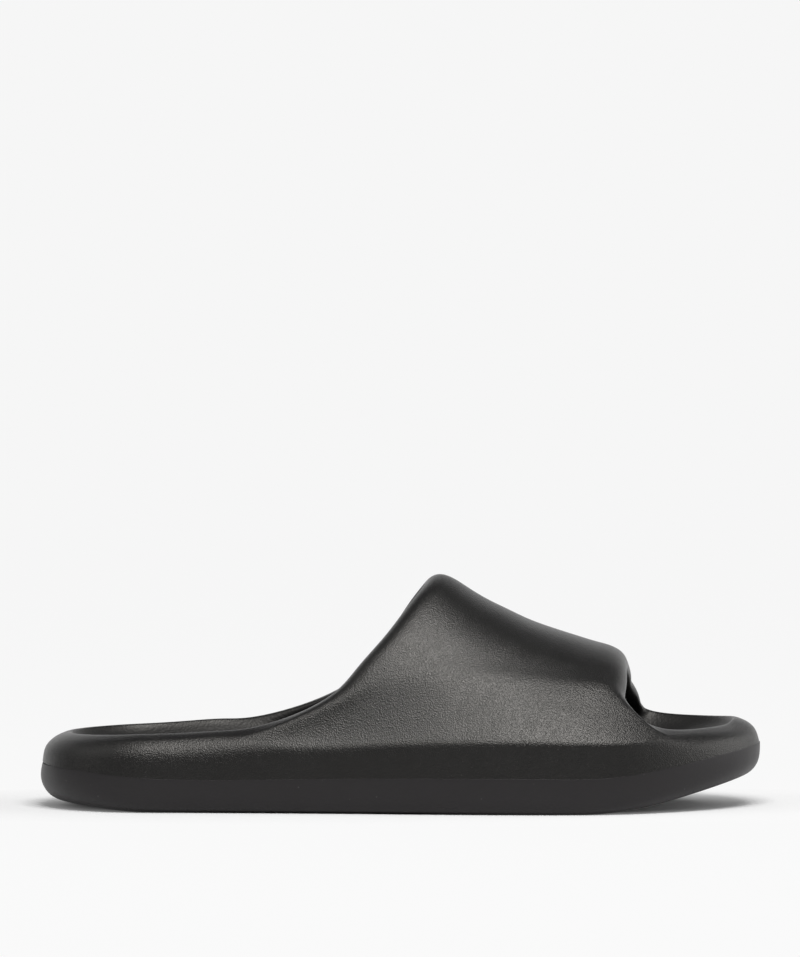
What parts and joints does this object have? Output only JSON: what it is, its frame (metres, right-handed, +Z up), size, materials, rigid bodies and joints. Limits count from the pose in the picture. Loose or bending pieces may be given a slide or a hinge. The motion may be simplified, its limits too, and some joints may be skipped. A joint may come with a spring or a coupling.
{
  "type": "sport slide sandal",
  "caption": "Right-foot slide sandal in moulded foam: puffy rounded rim and footbed, wide closed strap over the instep, open toe and open heel, grooved sole.",
  "frame": {"origin": "middle of the box round the sandal in X and Y, on the floor", "axes": "+X from heel to toe, +Y towards the inner (medial) side of the foot, +Z up"},
  "size_m": [0.29, 0.1151, 0.0927],
  "materials": {
    "upper": "matte foam with a fine leather-like grain",
    "outsole": "matte foam, smoother than the upper"
  },
  "bodies": {
    "root": {"upper": "upper", "outsole": "outsole"}
  },
  "joints": []
}
